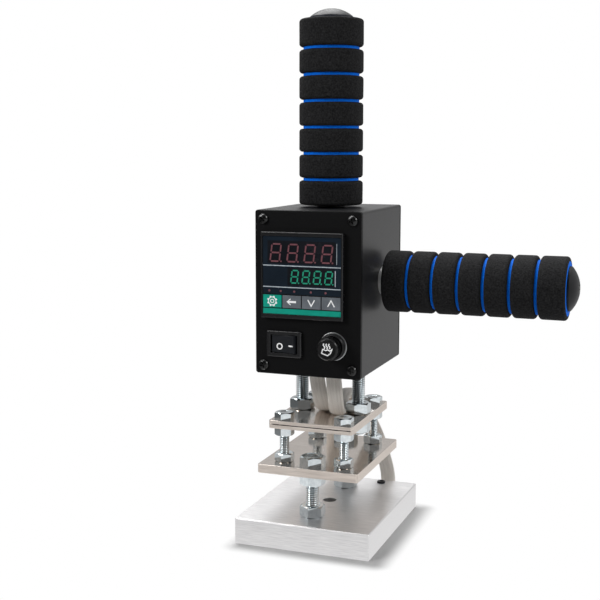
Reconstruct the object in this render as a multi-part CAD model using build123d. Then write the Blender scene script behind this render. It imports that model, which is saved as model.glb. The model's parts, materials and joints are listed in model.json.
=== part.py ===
"""Hand-held electric hot-embossing press for leather, millimetres.

A thick heated base block takes the brass die under it. Two hex bolts hold a
lower plate above the base, four smaller bolts and nuts hold an insulated plate
pack above that, and two long studs carry the control box. A foam grip stands on
the box and a second one leaves its right side.

Frame: +Z up, +X towards the side grip, -Y the face with the controls. The
origin is the middle of the base block's underside, at the die's bolt hole.
"""

import math
import os

from build123d import *

os.makedirs("parts", exist_ok=True)

# ---------------------------------------------------------------- base block
base_x = 80.0
base_y = 100.0
base_z = 15.0
base_edge = 0.5
die_hole_r = 4.0

heater_x = 19.0
heater_r = 4.0
heater_length = 80.0
probe_r = 2.5
probe_length = 30.0
set_screw_r = 2.5
set_screw_inset = 6.5
set_screw_sink = 0.4

# ------------------------------------------------- lower plate and its bolts
base_gap = 25.0
lower_x = 60.0
lower_y = 80.0
lower_z = 5.0
plate_corner = 1.0
main_pitch_y = 60.0
m8_shank_r = 3.9
m8_flats = 13.0
m8_head_z = 5.3
m8_nut_z = 6.5
main_bolt_length = 40.0
main_hole_floor = 3.0

# ------------------------------------------------------- insulated plate pack
plate_gap = 20.4
upper_x = 50.0
upper_y = 70.0
cover_z = 2.05
sheet_z = 0.5
tray_z = 2.05
tray_rim_left = 2.0
tray_rim_right = 0.8
sheet_x = 24.0
sheet_inset_y = 4.0
corner_pitch_x = 36.0
corner_pitch_y = 56.0
m6_shank_r = 2.9
m6_flats = 10.0
m6_head_z = 4.0
m6_nut_z = 5.0

# -------------------------------------------------------------- riser studs
riser_pitch_x = 35.0
riser_gap = 28.1
riser_tail = 1.5
riser_top_tail = 2.0

# ------------------------------------------------------------------- housing
box_x = 62.0
box_y = 78.0
box_z = 92.0
box_wall = 2.5
panel_y = 2.5
box_edge_r = 1.5
box_inner_r = 0.3
screw_boss = 8.2
mount_plate_x = 44.0
mount_plate_front = 7.8
mount_plate_rear = 30.0
mount_plate_z = 6.0

# ---------------------------------------------------- temperature controller
dial_size = 48.0
dial_x = -2.4
dial_drop = 35.7
dial_proud = 3.3
dial_edge = 0.3
dial_case_edge = 1.1
dial_floor = 1.2
dial_recess = 1.3
dial_case = 44.6
dial_case_depth = 58.0
dial_ring_wall = 2.4
dial_cutout_play = 0.2
face_side = 1.0
face_top = 2.3
lens_y = 0.8
stripe_z = 3.4
key_band_z = 7.6
key_count = 4
key_seam = 0.6
key_cap_y = 0.55
key_travel = 0.3
key_rest = 0.1
key_stem_x = 5.0
key_stem_z = 3.0
key_stem_y = 1.5
clamp_wall = 2.2
clamp_y = 9.0

# ------------------------------------------------------------- rocker switch
rocker_x = -13.3
rocker_z_up = 17.6
rocker_wide = 21.0
rocker_tall = 15.0
rocker_proud = 2.0
rocker_corner = 0.8
rocker_edge = 0.5
rocker_hole_wide = 19.0
rocker_hole_tall = 12.8
rocker_body_y = 14.0
rocker_mouth_wide = 15.8
rocker_mouth_tall = 10.2
rocker_key_r = 7.6
rocker_key_tall = 9.8
rocker_end_height = 3.5
rocker_dip = 0.9
rocker_pivot_depth = 3.1
rocker_key_back = 1.0
rocker_pin_r = 1.0
rocker_pin_long = 0.8
rocker_tilt = 9.0
rocker_pocket_y = 3.1
blade_wide = 0.8
blade_tall = 4.8
blade_long = 7.5
blade_pitch = 7.0

# --------------------------------------------------------------- push button
button_x = 15.3
button_z_up = 17.9
ring_r = 7.9
ring_y = 0.6
collar_r = 7.5
collar_y = 3.4
collar_edge = 0.8
barrel_r = 5.9
barrel_y = 15.0
button_cap_r = 6.2
button_cap_proud = 11.0
button_cap_edge = 0.9
button_travel = 3.0
button_stem_r = 3.0
button_nut_flats = 15.0
button_nut_y = 2.5

# ------------------------------------------------------------ other fittings
relay_x = 36.0
relay_y = 22.0
relay_z = 11.0
gland_z_up = 26.0
gland_bore_r = 3.25
gland_thread_r = 6.0
gland_flats = 18.0
gland_flange_y = 4.0
gland_dome_r = 7.6
gland_dome_y = 10.0
gland_dome_edge = 2.2
gland_tail_y = 3.0
grommet_x = 27.0
grommet_y = 15.0
grommet_lip = 1.5
grommet_groove = 1.6
grommet_shift_x = 1.6
grommet_shift_y = -15.5

# --------------------------------------------------------------------- leads
lead_wide = 9.2
lead_thick = 3.0

# --------------------------------------------------------------------- grips
top_foam_r = 18.3
top_foam_length = 104.4
side_foam_r = 17.5
side_foam_length = 101.2
foam_rings = 7
foam_groove = 1.5
foam_slope = 0.9
foam_wall = 2.4
first_ring_extra = 0.8
last_ring_extra = 2.4
grip_bar_r = 11.0
grip_cap_r = 12.2
grip_cap_rim = 1.2
grip_cap_dome = 4.6
collar_disc_r = 8.0
top_collar_z = 1.4
side_collar_z = 4.0
side_grip_height = 50.7
grip_stud_tail = 1.5

# ---------------------------------------------------------------- clearances
thread_play = 0.1
hole_play = 0.3
slide_play = 0.15
pivot_play = 0.05
foam_play = 0.05

# ------------------------------------------------------------ stacked levels
lower_bottom = base_z + base_gap
lower_top = lower_bottom + lower_z
pack_bottom = lower_top + plate_gap
sheet_bottom = pack_bottom + tray_z
cover_bottom = sheet_bottom + sheet_z
pack_top = cover_bottom + cover_z
box_bottom = pack_top + riser_gap
box_floor = box_bottom + box_wall
box_top = box_bottom + box_z
box_roof = box_top - box_wall
box_middle = box_bottom + box_z / 2
box_right = box_x / 2
front_face = -box_y / 2
front_back = front_face + panel_y
rear_face = box_y / 2
rear_back = rear_face - panel_y
mount_top = box_floor + mount_plate_z

main_spots = [(0, -main_pitch_y / 2), (0, main_pitch_y / 2)]
corner_spots = [
    (side_x * corner_pitch_x / 2, side_y * corner_pitch_y / 2)
    for side_x in (-1, 1)
    for side_y in (-1, 1)
]
riser_spots = [(-riser_pitch_x / 2, 0), (riser_pitch_x / 2, 0)]


# -------------------------------------------------------------------- helpers
def save(node, *pieces):
    """Write one node, whose solids may be several like pieces."""
    solids = [solid for piece in pieces for solid in piece.solids()]
    shape = solids[0] if len(solids) == 1 else Compound(solids)
    export_step(shape, f"parts/{node}.step")


def slab(low, high):
    """A box between two opposite corners."""
    size = [b - a for a, b in zip(low, high)]
    middle = [(a + b) / 2 for a, b in zip(low, high)]
    return Pos(*middle) * Box(*size)


def post(radius, bottom, top, spot=(0, 0)):
    """An upright cylinder from one level to another."""
    return Pos(spot[0], spot[1], (bottom + top) / 2) * Cylinder(radius, top - bottom)


def rod(radius, front, back, spot):
    """A cylinder along Y at spot = (x, z)."""
    middle = Pos(spot[0], (front + back) / 2, spot[1])
    return middle * Rot(90, 0, 0) * Cylinder(radius, back - front)


def hexagon(flats, height):
    """A hexagonal prism on Z = 0 with one pair of flats facing X."""
    outline = Rot(0, 0, 30) * RegularPolygon(flats / 2, 6, major_radius=False)
    return extrude(outline, height)


def hex_nut(flats, bottom, top, bore_r, spot):
    """An upright hexagonal nut between two levels."""
    body = Pos(spot[0], spot[1], bottom) * hexagon(flats, top - bottom)
    return body - post(bore_r, bottom - 1, top + 1, spot)


def hex_bolt(flats, head_z, shank_r, seat, length, spot):
    """A hexagonal bolt whose head stands on the level called seat."""
    head = Pos(spot[0], spot[1], seat) * hexagon(flats, head_z)
    return head + post(shank_r, seat - length, seat, spot)


def plate(size_x, size_y, bottom, top):
    """A flat plate about the Z axis with its upright edges eased."""
    body = slab((-size_x / 2, -size_y / 2, bottom), (size_x / 2, size_y / 2, top))
    return chamfer(body.edges().filter_by(Axis.Z), plate_corner)


# -------------------------------------------------------------- heated base
def make_base():
    """The heated block, its cartridge, the heat probe and the grub screw."""
    rear = base_y / 2
    middle = base_z / 2
    block = slab((-base_x / 2, -rear, 0), (base_x / 2, rear, base_z))
    block = chamfer(block.edges().filter_by(Axis.Z), base_edge)
    block = chamfer(block.faces().sort_by(Axis.Z)[-1].edges(), base_edge)
    block -= post(die_hole_r, -1, base_z + 1)
    for spot in main_spots:
        block -= post(m8_shank_r + thread_play, main_hole_floor, base_z + 1, spot)
    for node, x, radius, length in (
        ("heater_cartridge", heater_x, heater_r, heater_length),
        ("heat_probe", -heater_x, probe_r, probe_length),
    ):
        block -= rod(radius + thread_play, rear - length, rear + 1, (x, middle))
        save(node, rod(radius, rear - length, rear, (x, middle)))
    screw_spot = (heater_x, rear - set_screw_inset)
    block -= post(set_screw_r + thread_play, middle, base_z + 1, screw_spot)
    save("base_block", block)
    save("set_screw", post(set_screw_r, middle + heater_r, base_z - set_screw_sink, screw_spot))


# -------------------------------------------------- lower plate and plate pack
def make_lower_stage():
    """The plate on two large bolts, with a nut under it and one on the base."""
    body = plate(lower_x, lower_y, lower_bottom, lower_top)
    for spot in main_spots:
        body -= post(m8_shank_r + hole_play, lower_bottom - 1, lower_top + 1, spot)
    for spot in corner_spots:
        body -= post(m6_shank_r + thread_play, lower_bottom - 1, lower_top + 1, spot)
    save("lower_plate", body)
    bore = m8_shank_r + thread_play
    under = (lower_bottom - m8_nut_z, lower_bottom)
    on_base = (base_z, base_z + m8_nut_z)
    save("main_bolts", *[
        hex_bolt(m8_flats, m8_head_z, m8_shank_r, lower_top, main_bolt_length, spot)
        for spot in main_spots
    ])
    save("main_plate_nuts", *[hex_nut(m8_flats, *under, bore, spot) for spot in main_spots])
    save("main_base_nuts", *[hex_nut(m8_flats, *on_base, bore, spot) for spot in main_spots])


def make_plate_pack():
    """Cover plate over a thin sheet in a tray whose side rims hide the sheet."""
    cover = plate(upper_x, upper_y, cover_bottom, pack_top)
    tray = plate(upper_x, upper_y, pack_bottom, cover_bottom)
    left = -upper_x / 2 + tray_rim_left
    right = upper_x / 2 - tray_rim_right
    half_y = upper_y / 2
    tray -= slab((left, -half_y - 1, sheet_bottom), (right, half_y + 1, cover_bottom + 1))
    sheet_half_y = half_y - sheet_inset_y
    sheet = slab(
        (-sheet_x / 2, -sheet_half_y, sheet_bottom), (sheet_x / 2, sheet_half_y, cover_bottom)
    )
    holes = [(m6_shank_r, spot) for spot in corner_spots]
    holes += [(m8_shank_r, spot) for spot in riser_spots]
    for shank_r, spot in holes:
        drill = post(shank_r + hole_play, pack_bottom - 1, pack_top + 1, spot)
        cover, tray = cover - drill, tray - drill
    save("upper_plate", cover)
    save("backing_tray", tray)
    save("insulation_sheet", sheet)
    bore = m6_shank_r + thread_play
    length = pack_top - lower_bottom
    clamp = (pack_bottom - m6_nut_z, pack_bottom)
    lower = (lower_top, lower_top + m6_nut_z)
    save("corner_bolts", *[
        hex_bolt(m6_flats, m6_head_z, m6_shank_r, pack_top, length, spot)
        for spot in corner_spots
    ])
    save("corner_clamp_nuts", *[hex_nut(m6_flats, *clamp, bore, spot) for spot in corner_spots])
    save("corner_lower_nuts", *[hex_nut(m6_flats, *lower, bore, spot) for spot in corner_spots])


def make_risers():
    """Two threaded studs from the plate pack up into the control box."""
    bore = m8_shank_r + thread_play
    under = (pack_bottom - m8_nut_z, pack_bottom)
    over = (pack_top, pack_top + m8_nut_z)
    stud = (under[0] - riser_tail, mount_top + riser_top_tail)
    save("riser_studs", *[post(m8_shank_r, *stud, spot) for spot in riser_spots])
    save("riser_under_nuts", *[hex_nut(m8_flats, *under, bore, spot) for spot in riser_spots])
    save("riser_top_nuts", *[hex_nut(m8_flats, *over, bore, spot) for spot in riser_spots])
    body = slab(
        (-mount_plate_x / 2, -mount_plate_front, box_floor),
        (mount_plate_x / 2, mount_plate_rear, mount_top),
    )
    for spot in riser_spots:
        body -= post(bore, box_floor - 1, mount_top + 1, spot)
    save("mount_plate", body)


# ------------------------------------------------------------------- housing
def grommet_outline(grow):
    """The lead grommet's oval, larger or smaller by grow all round."""
    place = Pos(grommet_shift_x, grommet_shift_y)
    return place * SlotOverall(grommet_x + 2 * grow, grommet_y + 2 * grow)


def box_outline(inset):
    """The housing's front outline, inset from its outer faces."""
    corner_r = max(box_edge_r - inset, box_inner_r)
    return RectangleRounded(box_x - 2 * inset, box_z - 2 * inset, corner_r)


def along_y(outline, front, back):
    """Extrude an XZ outline, drawn about the box's middle, from front to back."""
    start = Plane(origin=(0, back, box_middle), x_dir=(1, 0, 0), z_dir=(0, -1, 0))
    return extrude(start * outline, back - front)


def make_shell():
    """An extruded tube, open front and rear, with a square screw rib in each corner."""
    shell = along_y(box_outline(0), front_back, rear_back)
    hollow = along_y(box_outline(box_wall), front_back - 1, rear_back + 1)
    reach_x, reach_z = box_x / 2 - screw_boss, box_z / 2 - screw_boss
    for side_x in (-1, 1):
        for side_z in (-1, 1):
            low_x, high_x = sorted((side_x * reach_x, side_x * box_x))
            low_z, high_z = sorted((side_z * reach_z, side_z * box_z))
            hollow -= slab(
                (low_x, front_back - 2, box_middle + low_z), (high_x, rear_back + 2, box_middle + high_z)
            )
    shell -= hollow
    for spot in riser_spots:
        shell -= post(m8_shank_r + hole_play, box_bottom - 1, box_floor + 1, spot)
    shell -= Pos(0, 0, box_bottom - 1) * extrude(grommet_outline(-grommet_groove), box_wall + 2)
    shell -= post(m6_shank_r + hole_play, box_roof - 1, box_top + 1)
    side_hole = Cylinder(m6_shank_r + hole_play, box_wall + 2)
    side_level = box_bottom + side_grip_height
    shell -= Pos(box_right - box_wall / 2, 0, side_level) * Rot(0, 90, 0) * side_hole
    save("housing_shell", shell)


def make_front_panel():
    """The control panel with the cut-outs of everything it carries."""
    panel = along_y(box_outline(0), front_face, front_back)
    low, high = front_face - 1, front_back + 1
    half = dial_case / 2 + dial_cutout_play
    panel -= slab((dial_x - half, low, dial_z - half), (dial_x + half, high, dial_z + half))
    wide, tall = rocker_hole_wide / 2, rocker_hole_tall / 2
    panel -= slab(
        (rocker_x - wide, low, rocker_z - tall), (rocker_x + wide, high, rocker_z + tall)
    )
    panel -= rod(barrel_r + thread_play, low, high, (button_x, button_z))
    save("front_panel", panel)


def make_rear_panel():
    """The plain rear panel and the gland of the supply cord."""
    panel = along_y(box_outline(0), rear_back, rear_face)
    gland_spot = (0, box_bottom + gland_z_up)
    panel -= rod(gland_thread_r + hole_play, rear_back - 1, rear_face + 1, gland_spot)
    save("rear_panel", panel)

    flange_end = rear_face + gland_flange_y
    dome_end = flange_end + gland_dome_y
    place = Pos(gland_spot[0], rear_face, gland_spot[1]) * Rot(-90, 0, 0)
    flange = place * hexagon(gland_flats, gland_flange_y)
    dome = rod(gland_dome_r, flange_end, dome_end, gland_spot)
    dome = chamfer(dome.faces().sort_by(Axis.Y)[-1].edges(), gland_dome_edge)
    thread = rod(gland_thread_r, rear_back - gland_tail_y, rear_face, gland_spot)
    gland = flange + dome + thread
    gland -= rod(gland_bore_r, rear_back - gland_tail_y - 1, dome_end + 1, gland_spot)
    save("power_gland", gland)


# ---------------------------------------------------- temperature controller
dial_z = box_top - dial_drop
bezel_face = front_face - dial_proud
floor_front = bezel_face + dial_recess
floor_back = floor_front + dial_floor
face_x = dial_size - 2 * face_side
face_left = dial_x - face_x / 2
face_right = dial_x + face_x / 2
face_high = dial_z + dial_size / 2 - face_top
face_low = dial_z - dial_size / 2 + face_top
keys_low = face_low + stripe_z
keys_high = keys_low + key_band_z
key_pitch = face_x / key_count


def key_middle(number):
    """Centre (x, z) of a key, counted from the left."""
    return face_left + (number + 0.5) * key_pitch, (keys_low + keys_high) / 2


def make_controller():
    """A panel controller: framed face, lens, four keys, case and clamp."""
    half = dial_size / 2
    bezel = slab((dial_x - half, bezel_face, dial_z - half), (dial_x + half, front_face, dial_z + half))
    bezel = chamfer(bezel.faces().sort_by(Axis.Y)[0].edges(), dial_edge)
    bezel -= slab((face_left, bezel_face - 1, face_low), (face_right, floor_front, face_high))
    inner = half - dial_ring_wall
    bezel -= slab(
        (dial_x - inner, floor_back, dial_z - inner), (dial_x + inner, front_face + 1, dial_z + inner)
    )
    play = slide_play
    for number in range(key_count):
        x, z = key_middle(number)
        bezel -= slab(
            (x - key_stem_x / 2 - play, floor_front - 1, z - key_stem_z / 2 - play),
            (x + key_stem_x / 2 + play, floor_back + 1, z + key_stem_z / 2 + play),
        )
    save("controller_bezel", bezel)
    edge = key_seam / 2
    lens = slab(
        (face_left + play, floor_front - lens_y, keys_high + edge),
        (face_right - play, floor_front, face_high - play),
    )
    save("controller_window", lens)
    stripe = slab(
        (face_left + play, floor_front - lens_y, face_low + play),
        (face_right - play, floor_front, keys_low - edge),
    )
    save("controller_stripe", stripe)
    for number, node in enumerate(("key_menu", "key_shift", "key_down", "key_up")):
        x, z = key_middle(number)
        half_x, half_z = key_pitch / 2 - edge, key_band_z / 2 - edge
        cap_back = floor_front - key_travel - key_rest
        cap = slab((x - half_x, cap_back - key_cap_y, z - half_z), (x + half_x, cap_back, z + half_z))
        stem = slab(
            (x - key_stem_x / 2, cap_back, z - key_stem_z / 2),
            (x + key_stem_x / 2, cap_back + key_stem_y, z + key_stem_z / 2),
        )
        save(node, cap + stem)
    case_half = dial_case / 2
    case = slab(
        (dial_x - case_half, front_face, dial_z - case_half),
        (dial_x + case_half, front_face + dial_case_depth, dial_z + case_half),
    )
    case = chamfer(case.faces().sort_by(Axis.Y)[-1].edges(), dial_case_edge)
    save("controller_case", case)
    ring = case_half + clamp_wall
    hole = case_half + thread_play
    clamp = slab(
        (dial_x - ring, front_back, dial_z - ring),
        (dial_x + ring, front_back + clamp_y, dial_z + ring),
    )
    clamp -= slab(
        (dial_x - hole, front_back - 1, dial_z - hole),
        (dial_x + hole, front_back + clamp_y + 1, dial_z + hole),
    )
    save("controller_clamp", clamp)


# ------------------------------------------------------------- rocker switch
rocker_z = box_bottom + rocker_z_up
rocker_face = front_face - rocker_proud
rocker_pivot_y = rocker_face + rocker_pivot_depth


def make_rocker():
    """A snap-in switch whose concave key rocks about an upright pin."""
    wide, tall = rocker_wide / 2, rocker_tall / 2
    frame = slab(
        (rocker_x - wide, rocker_face, rocker_z - tall), (rocker_x + wide, front_face, rocker_z + tall)
    )
    frame = chamfer(frame.edges().filter_by(Axis.Y), rocker_corner)
    frame = chamfer(frame.faces().sort_by(Axis.Y)[0].edges(), rocker_edge)
    body_wide = rocker_hole_wide / 2 - slide_play
    body_tall = rocker_hole_tall / 2 - slide_play
    body_end = front_face + rocker_body_y
    frame += slab(
        (rocker_x - body_wide, front_face, rocker_z - body_tall),
        (rocker_x + body_wide, body_end, rocker_z + body_tall),
    )
    mouth_wide, mouth_tall = rocker_mouth_wide / 2, rocker_mouth_tall / 2
    frame -= slab(
        (rocker_x - mouth_wide, rocker_face - 1, rocker_z - mouth_tall),
        (rocker_x + mouth_wide, rocker_pivot_y + rocker_pocket_y, rocker_z + mouth_tall),
    )
    pin_half = rocker_key_tall / 2 + rocker_pin_long
    pin_spot = (rocker_x, rocker_pivot_y)
    socket_half = pin_half + slide_play
    frame -= post(
        rocker_pin_r + pivot_play, rocker_z - socket_half, rocker_z + socket_half, pin_spot
    )
    save("rocker_frame", frame)
    blades = []
    for side in (-1, 0, 1):
        x = rocker_x + side * blade_pitch
        blades.append(slab(
            (x - blade_wide / 2, body_end, rocker_z - blade_tall / 2),
            (x + blade_wide / 2, body_end + blade_long, rocker_z + blade_tall / 2),
        ))
    save("rocker_terminals", *blades)

    end_x = math.sqrt(rocker_key_r**2 - rocker_end_height**2)
    back_x = math.sqrt(rocker_key_r**2 - rocker_key_back**2)
    corner_r = (end_x, rocker_end_height)
    corner_l = (-end_x, rocker_end_height)
    back_r = (back_x, -rocker_key_back)
    back_l = (-back_x, -rocker_key_back)
    outline = make_face([
        Edge.make_line(back_l, back_r),
        Edge.make_three_point_arc(back_r, (rocker_key_r, 0), corner_r),
        Edge.make_three_point_arc(corner_r, (0, rocker_end_height - rocker_dip), corner_l),
        Edge.make_three_point_arc(corner_l, (-rocker_key_r, 0), back_l),
    ])
    key = extrude(outline, rocker_key_tall / 2, both=True)
    key += extrude(Circle(rocker_pin_r), pin_half, both=True)
    place = Pos(rocker_x, rocker_pivot_y, rocker_z) * Rot(0, 0, 180 - rocker_tilt)
    save("rocker_key", place * key)


# --------------------------------------------------------------- push button
button_z = box_bottom + button_z_up


def make_button():
    """A sprung push button: ring, collar with barrel, cap and panel nut."""
    spot = (button_x, button_z)
    ring_front = front_face - ring_y
    collar_front = ring_front - collar_y
    bore = button_cap_r + slide_play
    ring = rod(ring_r, ring_front, front_face, spot)
    ring -= rod(barrel_r + thread_play, ring_front - 1, front_face + 1, spot)
    save("button_ring", ring)
    collar = rod(collar_r, collar_front, ring_front, spot)
    collar = chamfer(collar.faces().sort_by(Axis.Y)[0].edges(), collar_edge)
    barrel_end = front_face + barrel_y
    collar += rod(barrel_r, ring_front, barrel_end, spot)
    seat = collar_front + collar_y - (collar_r - bore)
    collar -= rod(bore, collar_front - 1, seat, spot)
    stem_bore = button_stem_r + slide_play
    collar -= rod(stem_bore, seat - 1, barrel_end - (barrel_r - stem_bore) / 2, spot)
    save("button_collar", collar)
    cap_front = front_face - button_cap_proud
    cap_back = seat - button_travel - slide_play
    cap = rod(button_cap_r, cap_front, cap_back, spot)
    cap = chamfer(cap.faces().sort_by(Axis.Y)[0].edges(), button_cap_edge)
    stem_end = barrel_end - (barrel_r - stem_bore) / 2 - button_travel - slide_play
    cap += rod(button_stem_r, cap_back, stem_end, spot)
    save("button_cap", cap)
    nut_place = Pos(button_x, front_back, button_z) * Rot(-90, 0, 0)
    nut = nut_place * hexagon(button_nut_flats, button_nut_y)
    nut -= rod(barrel_r + thread_play, front_back - 1, front_back + button_nut_y + 1, spot)
    save("button_nut", nut)


# ------------------------------------------------------- inside and grommet
def make_inner_parts():
    """The power relay on the mounting plate and the grommet of the leads."""
    rear = mount_plate_rear - hole_play
    relay = slab((-relay_x / 2, rear - relay_y, mount_top), (relay_x / 2, rear, mount_top + relay_z))
    save("power_relay", relay)
    lower_lip = Pos(0, 0, box_bottom - grommet_lip) * extrude(grommet_outline(0), grommet_lip)
    waist_outline = grommet_outline(-grommet_groove - thread_play)
    waist = Pos(0, 0, box_bottom) * extrude(waist_outline, box_wall)
    save("cable_grommet", lower_lip + waist)


# --------------------------------------------------------------------- leads
lead_start = box_bottom - grommet_lip
lead_end_y = base_y / 2
lead_end_z = base_z / 2

heater_route = [
    (8.4, -19.0, lead_start),
    (8.4, -19.0, 72.0),
    (5.0, 1.0, 72.0),
    (6.5, 15.0, 79.0),
    (7.5, 36.0, 79.5),
    (10.5, 45.0, 60.0),
    (14.3, 48.5, 45.5),
    (17.2, 54.0, 31.0),
    (18.6, 59.5, 18.5),
    (19.0, 60.5, 7.5),
    (heater_x, lead_end_y, lead_end_z),
]
probe_route = [
    (-4.6, -13.0, lead_start),
    (-4.6, -13.0, 72.4),
    (-5.5, 7.0, 72.4),
    (-6.8, 21.0, 79.5),
    (-9.0, 37.0, 80.0),
    (-13.0, 45.5, 60.5),
    (-16.6, 49.5, 45.0),
    (-18.2, 54.5, 31.0),
    (-18.9, 59.5, 18.5),
    (-19.0, 60.5, 7.5),
    (-heater_x, lead_end_y, lead_end_z),
]


def bend_radii(points):
    """0.45 of each corner's shorter run over the tangent of half its turn."""
    radii = []
    for before, corner, after in zip(points, points[1:], points[2:]):
        into, out = Vector(corner) - Vector(before), Vector(after) - Vector(corner)
        turn = math.radians(into.get_angle(out))
        radii.append(0.45 * min(into.length, out.length) / math.tan(turn / 2))
    return radii


def make_lead(node, points):
    """A flat braided sleeve: its section swept along its route."""
    radii = bend_radii(points)
    path = FilletPolyline(*points, radius=radii)
    down = Vector(points[1]) - Vector(points[0])
    across = down.cross(Vector(points[2]) - Vector(points[1]))
    start = Plane(origin=points[0], x_dir=across, z_dir=down)
    section = start * Rectangle(lead_wide, lead_thick)
    lead = sweep(section, path=path)
    ratio = lead.volume / (section.area * path.length)
    rounded = [round(radius, 1) for radius in radii]
    print(node, "length", round(path.length, 1), "volume ratio", round(ratio, 4), "radii", rounded)
    save(node, lead)


# --------------------------------------------------------------------- grips
def make_grip(name, place, collar_z, foam_r, foam_length):
    """One grip, drawn upwards from the box wall and moved to its place."""
    core_r = foam_r - foam_wall
    end = collar_z + foam_length
    tail = -(box_wall + m6_nut_z + grip_stud_tail)
    spigot = post(collar_disc_r, 0, collar_z) + post(m6_shank_r, tail, 0)
    save(f"{name}_spigot", place * spigot)
    save(f"{name}_bar", place * post(grip_bar_r, collar_z, end))
    core = post(core_r, collar_z, end)
    core -= post(grip_bar_r + foam_play, collar_z - 1, end + 1)
    save(f"{name}_core", place * core)

    grooves = (foam_rings - 1) * foam_groove
    ring_z = (foam_length - grooves - first_ring_extra - last_ring_extra) / foam_rings
    heights = [ring_z] * foam_rings
    heights[0] += first_ring_extra
    heights[-1] += last_ring_extra
    inner_r = core_r + foam_play
    rings = []
    bottom = collar_z
    for height in heights:
        outline = make_face(Polyline(
            (inner_r, bottom),
            (foam_r, bottom + foam_slope),
            (foam_r, bottom + height - foam_slope),
            (inner_r, bottom + height),
            close=True,
        ))
        rings.append(place * revolve(Plane.XZ * outline, Axis.Z))
        bottom += height + foam_groove
    save(f"{name}_rings", *rings)

    top = end + grip_cap_rim + grip_cap_dome
    dome_r = (grip_cap_r**2 + grip_cap_dome**2) / (2 * grip_cap_dome)
    dome = Pos(0, 0, top - dome_r) * Sphere(dome_r)
    save(f"{name}_cap", place * (dome & post(grip_cap_r, end, top + 1)))
    nut = hex_nut(m6_flats, -box_wall - m6_nut_z, -box_wall, m6_shank_r + thread_play, (0, 0))
    return place * nut


make_base()
make_lower_stage()
make_plate_pack()
make_risers()
make_shell()
make_front_panel()
make_rear_panel()
make_controller()
make_rocker()
make_button()
make_inner_parts()
make_lead("lead_heater", heater_route)
make_lead("lead_probe", probe_route)
side_place = Pos(box_right, 0, box_bottom + side_grip_height) * Rot(0, 90, 0)
grip_nuts = [
    make_grip("top_grip", Pos(0, 0, box_top), top_collar_z, top_foam_r, top_foam_length),
    make_grip("side_grip", side_place, side_collar_z, side_foam_r, side_foam_length),
]
save("grip_nuts", *grip_nuts)
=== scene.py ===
# %% [markdown]
# # An electric hot embossing press
#
# A heated aluminium block presses a brass die into leather or wood. Two big bolts
# carry a steel plate over the block, four small ones carry a thinner plate pack over
# that, and two studs carry a black control box with a foam grip on its top and a
# second one on its right side. The engineering model already gives every part its
# place and its main form. This lesson adds what a drawing leaves out: threads, the
# chamfered corners of nuts, soft foam, printed marks and the finish of each surface.

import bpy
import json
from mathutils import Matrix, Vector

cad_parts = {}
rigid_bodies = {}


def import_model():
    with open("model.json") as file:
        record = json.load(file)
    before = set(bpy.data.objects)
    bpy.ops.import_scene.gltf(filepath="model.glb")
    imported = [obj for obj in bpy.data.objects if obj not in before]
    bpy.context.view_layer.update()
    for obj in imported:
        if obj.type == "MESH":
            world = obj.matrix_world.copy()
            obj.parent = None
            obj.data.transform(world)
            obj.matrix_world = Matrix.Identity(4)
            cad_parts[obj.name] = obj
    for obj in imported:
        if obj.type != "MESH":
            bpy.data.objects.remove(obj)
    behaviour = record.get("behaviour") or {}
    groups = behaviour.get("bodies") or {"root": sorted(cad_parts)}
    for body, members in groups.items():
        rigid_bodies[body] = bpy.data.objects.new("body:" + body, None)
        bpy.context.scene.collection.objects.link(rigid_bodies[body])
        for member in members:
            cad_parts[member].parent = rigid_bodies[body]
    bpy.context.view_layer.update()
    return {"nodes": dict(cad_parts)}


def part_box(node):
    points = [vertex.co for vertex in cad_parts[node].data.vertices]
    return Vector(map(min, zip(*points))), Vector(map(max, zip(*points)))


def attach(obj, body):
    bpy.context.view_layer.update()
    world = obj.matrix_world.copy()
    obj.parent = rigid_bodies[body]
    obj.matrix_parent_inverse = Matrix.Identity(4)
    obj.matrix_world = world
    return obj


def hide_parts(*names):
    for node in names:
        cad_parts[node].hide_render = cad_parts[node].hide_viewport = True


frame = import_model()

import json
import math

import bmesh
import bpy
from mathutils import Matrix, Vector, noise
from mathutils.bvhtree import BVHTree

scene = bpy.context.scene
scene.view_settings.view_transform = "Standard"

# %% [markdown]
# ## Units and a ruler
#
# The frame is in metres, but bolts and switches are thought of in millimetres. Every
# new piece is therefore drawn in millimetres and scaled once, when it is finished.
# `span` reads a part's reach along one axis, so that the new pieces follow the model.

# %% A ruler for the model's parts
MM = 0.001
X, Y, Z = 0, 1, 2


def span(node, axis):
    """Lowest and highest millimetre of a CAD part along one axis."""
    low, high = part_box(node)
    return low[axis] / MM, high[axis] / MM


print("base block:", [span("base_block", axis) for axis in (X, Y, Z)])

# %% [markdown]
# ## The camera
#
# The corners of the box, the plates and the base block fix the camera: it stands to
# the right of the front, a little above the display, and looks slightly down. The
# focal length is known in picture widths, so the lens follows from the sensor.

# %% Set the camera
FOCAL_IN_PICTURE_WIDTHS = 1108.28 / 600
camera_data = bpy.data.cameras.new("product_camera")
camera_data.sensor_width = 36
camera_data.lens = FOCAL_IN_PICTURE_WIDTHS * camera_data.sensor_width
camera_data.shift_x = 0.08 / 600
camera_data.shift_y = 0.78 / 600
camera_data.clip_start = 0.01
camera = bpy.data.objects.new("product_camera", camera_data)
camera.location = (0.21084, -0.60563, 0.22638)
look = Vector((-0.3515, 0.9256, -0.1405))
camera.rotation_euler = look.to_track_quat("-Z", "Y").to_euler()
scene.collection.objects.link(camera)
scene.camera = camera
print("lens:", round(camera_data.lens, 2), "mm")

# %% [markdown]
# ## Colours and nodes
#
# A hex code is written for a screen, while the renderer counts light, so one function
# turns the first into the second. A second small function adds any shader node: its
# settings are keywords, and each input takes a plain value or another node's output.

# %% Colour and node helpers


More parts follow.
